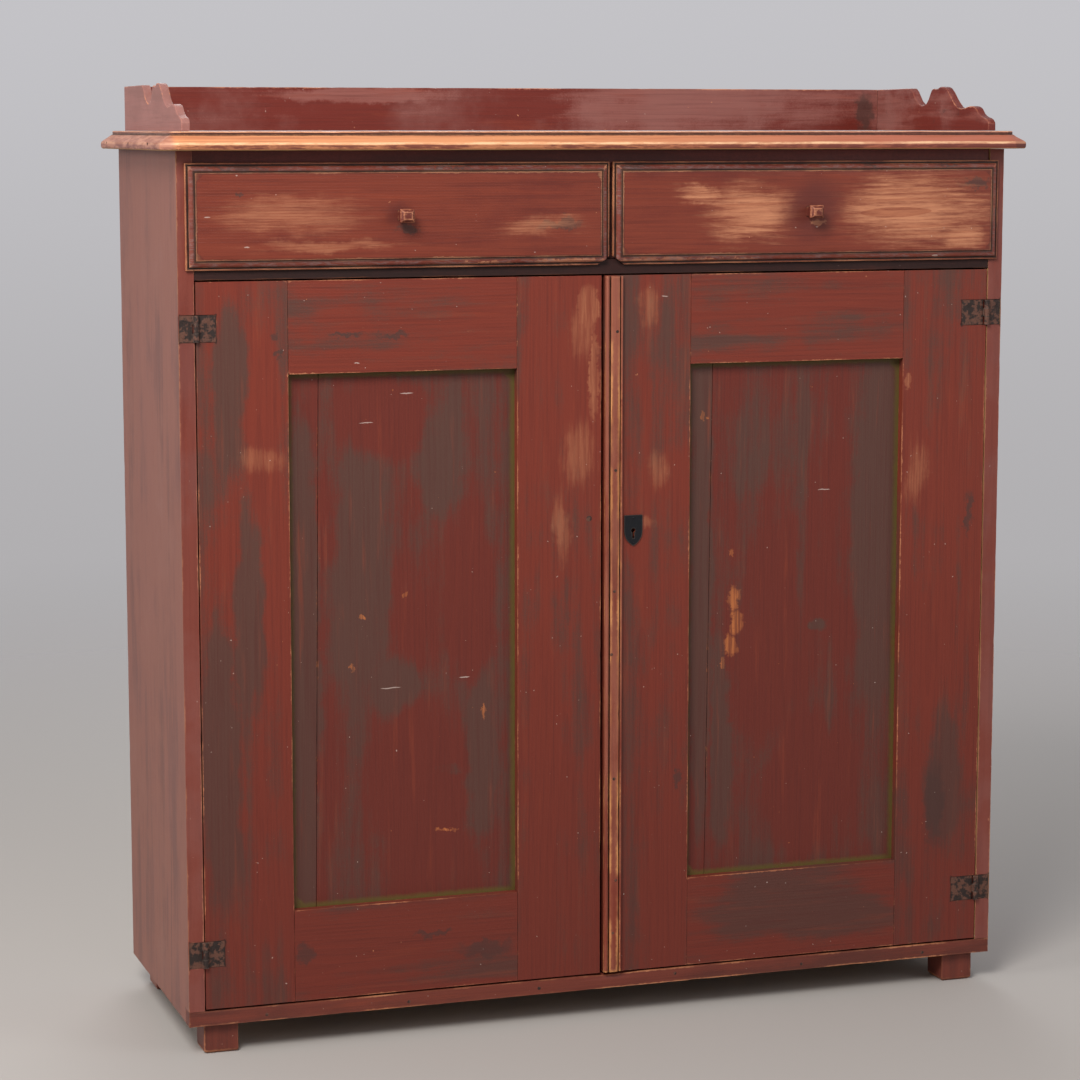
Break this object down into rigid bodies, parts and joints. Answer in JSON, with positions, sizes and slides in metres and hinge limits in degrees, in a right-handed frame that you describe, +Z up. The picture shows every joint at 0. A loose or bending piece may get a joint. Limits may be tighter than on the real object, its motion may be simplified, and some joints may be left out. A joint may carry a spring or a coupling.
{
  "type": "jelly cupboard",
  "caption": "Painted pine cupboard with a low gallery on a moulded top, lipped drawers above framed panel doors, inner shelves, rim lock and block feet.",
  "frame": {"origin": "middle of the box that holds the cupboard, on the surface it stands on", "axes": "+X to the right as seen from the front, +Y from the front to the back, +Z up"},
  "size_m": [1.25, 0.4284, 1.3093],
  "materials": {
    "carcase_paint": "worn red-brown paint, rubbed thin at the edges",
    "door_paint": "worn red-brown paint over pine grain",
    "panel_paint": "dark red-brown paint, dull",
    "drawer_paint": "red-brown paint rubbed through to orange pine",
    "top_paint": "worn paint, bare wood along the moulding",
    "gallery_paint": "deep red paint, satin",
    "raw_pine": "unpainted aged pine",
    "old_iron": "rusty iron with traces of paint",
    "black_iron": "blackened iron, satin"
  },
  "bodies": {
    "carcase": {"side_left": "carcase_paint", "side_right": "carcase_paint", "top_board": "top_paint", "gallery_back": "gallery_paint", "gallery_side_left": "gallery_paint", "gallery_side_right": "gallery_paint", "base_rail": "carcase_paint", "mid_rail": "carcase_paint", "top_rail": "carcase_paint", "bottom_board": "raw_pine", "drawer_board": "raw_pine", "shelf_lower": "raw_pine", "shelf_upper": "raw_pine", "drawer_partition": "raw_pine", "drawer_kicker": "raw_pine", "back_plank_1": "raw_pine", "back_plank_2": "raw_pine", "back_plank_3": "raw_pine", "back_plank_4": "raw_pine", "foot_front_left": "carcase_paint", "foot_front_right": "carcase_paint", "foot_back_left": "carcase_paint", "foot_back_right": "carcase_paint", "hinge_left_lower_frame_leaf": "old_iron", "hinge_left_upper_frame_leaf": "old_iron", "hinge_right_lower_frame_leaf": "old_iron", "hinge_right_upper_frame_leaf": "old_iron"},
    "door_left": {"door_left_hinge_stile": "door_paint", "door_left_meeting_stile": "door_paint", "door_left_top_rail": "door_paint", "door_left_bottom_rail": "door_paint", "door_left_narrow_panel_board": "panel_paint", "door_left_wide_panel_board": "panel_paint", "hinge_left_lower_door_leaf": "old_iron", "hinge_left_upper_door_leaf": "old_iron"},
    "turn_button": {"turn_button": "raw_pine"},
    "door_right": {"door_right_hinge_stile": "door_paint", "door_right_meeting_stile": "door_paint", "door_right_top_rail": "door_paint", "door_right_bottom_rail": "door_paint", "door_right_narrow_panel_board": "panel_paint", "door_right_wide_panel_board": "panel_paint", "hinge_right_lower_door_leaf": "old_iron", "hinge_right_upper_door_leaf": "old_iron", "closing_strip": "door_paint", "escutcheon": "black_iron", "lock_case": "old_iron"},
    "lock_bolt": {"lock_bolt": "old_iron"},
    "drawer_left": {"drawer_left_front": "drawer_paint", "drawer_left_knob": "drawer_paint", "drawer_left_outer_side": "raw_pine", "drawer_left_inner_side": "raw_pine", "drawer_left_back": "raw_pine", "drawer_left_bottom": "raw_pine"},
    "drawer_right": {"drawer_right_front": "drawer_paint", "drawer_right_knob": "drawer_paint", "drawer_right_outer_side": "raw_pine", "drawer_right_inner_side": "raw_pine", "drawer_right_back": "raw_pine", "drawer_right_bottom": "raw_pine"}
  },
  "joints": [
    {"name": "door_left_hinge", "type": "hinge", "parent": "carcase", "child": "door_left", "pos_m": [-0.5762, -0.18125, 0.55], "axis": [0, 0, -1], "range_deg": [0, 170]},
    {"name": "door_right_hinge", "type": "hinge", "parent": "carcase", "child": "door_right", "pos_m": [0.5762, -0.18125, 0.55], "axis": [0, 0, 1], "range_deg": [0, 170]},
    {"name": "drawer_left_slide", "type": "slide", "parent": "carcase", "child": "drawer_left", "axis": [0, -1, 0], "range_m": [0, 0.26]},
    {"name": "drawer_right_slide", "type": "slide", "parent": "carcase", "child": "drawer_right", "axis": [0, -1, 0], "range_m": [0, 0.26]},
    {"name": "lock_bolt_slide", "type": "slide", "parent": "door_right", "child": "lock_bolt", "axis": [-1, 0, 0], "range_m": [0, 0.014]},
    {"name": "turn_button_pivot", "type": "hinge", "parent": "door_left", "child": "turn_button", "pos_m": [-0.071, -0.14995, 1.008], "axis": [0, 1, 0], "range_deg": [0, 90]}
  ]
}
